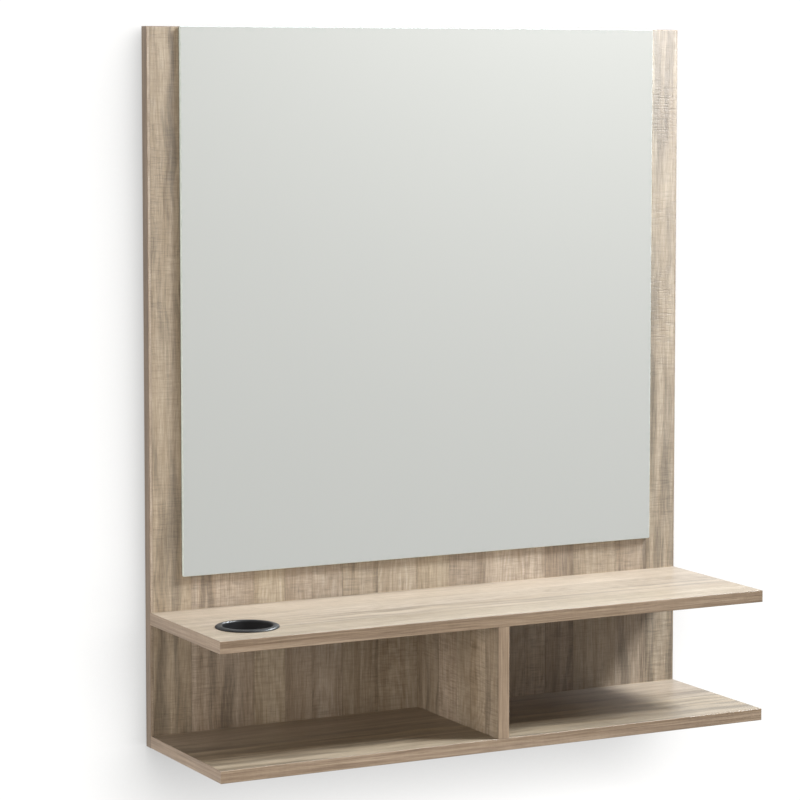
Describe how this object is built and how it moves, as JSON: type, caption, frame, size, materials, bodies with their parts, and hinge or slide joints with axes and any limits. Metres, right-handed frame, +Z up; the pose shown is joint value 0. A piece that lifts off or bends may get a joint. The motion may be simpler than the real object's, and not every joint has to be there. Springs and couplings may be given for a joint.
{
  "type": "salon styling station",
  "caption": "Wall-hung styling station: a wood-laminate back panel with a square frameless mirror, two shelves with a divider between them and a drop-in dryer holder ring.",
  "frame": {"origin": "on the wall plane, at the centre of the wall rail's line of screw holes, 950 mm above the panel's bottom edge", "axes": "+X to the right seen from the front, +Y into the wall, +Z up"},
  "size_m": [0.9, 0.274, 1.05],
  "materials": {
    "oak_laminate_board": "matt sawn-oak laminate on particleboard",
    "oak_edge_band": "wood-print plastic edge band, matt",
    "mirror_glass": "clear float glass, ground edges",
    "silver_coating": "silver with a grey protective paint behind",
    "foam_tape": "white foam tape",
    "mirror_glue": "cured neutral sealant",
    "black_plastic": "satin black moulding",
    "zinc_plated_steel": "bright zinc plate",
    "beech_dowel": "bare beech",
    "extruded_aluminium": "mill-finish extrusion",
    "black_rubber": "matt rubber"
  },
  "bodies": {
    "wall_mount": {"wall_rail": "extruded_aluminium"},
    "station": {"back_panel": "oak_laminate_board", "divider": "oak_laminate_board", "divider_back_screws": "zinc_plated_steel", "divider_base_screws": "zinc_plated_steel", "divider_front_band": "oak_edge_band", "divider_top_dowels": "beech_dowel", "lower_shelf": "oak_laminate_board", "lower_shelf_dowels": "beech_dowel", "lower_shelf_front_band": "oak_edge_band", "lower_shelf_left_band": "oak_edge_band", "lower_shelf_right_band": "oak_edge_band", "lower_shelf_screws": "zinc_plated_steel", "mirror_glass": "mirror_glass", "mirror_glue_beads": "mirror_glue", "mirror_silvering": "silver_coating", "mirror_tapes": "foam_tape", "panel_bottom_band": "oak_edge_band", "panel_left_band": "oak_edge_band", "panel_rail": "extruded_aluminium", "panel_rail_screws": "zinc_plated_steel", "panel_right_band": "oak_edge_band", "panel_top_band": "oak_edge_band", "spacer_screws": "zinc_plated_steel", "upper_shelf": "oak_laminate_board", "upper_shelf_dowels": "beech_dowel", "upper_shelf_front_band": "oak_edge_band", "upper_shelf_left_band": "oak_edge_band", "upper_shelf_right_band": "oak_edge_band", "upper_shelf_screws": "zinc_plated_steel", "wall_spacers": "black_rubber"},
    "dryer_holder": {"dryer_ring": "black_plastic"}
  },
  "joints": [
    {"name": "station_lift", "type": "slide", "parent": "wall_mount", "child": "station", "axis": [0, 0, 1], "range_m": [0, 0.016]},
    {"name": "dryer_ring_lift", "type": "slide", "parent": "station", "child": "dryer_holder", "axis": [0, 0, 1], "range_m": [0, 0.03]}
  ]
}
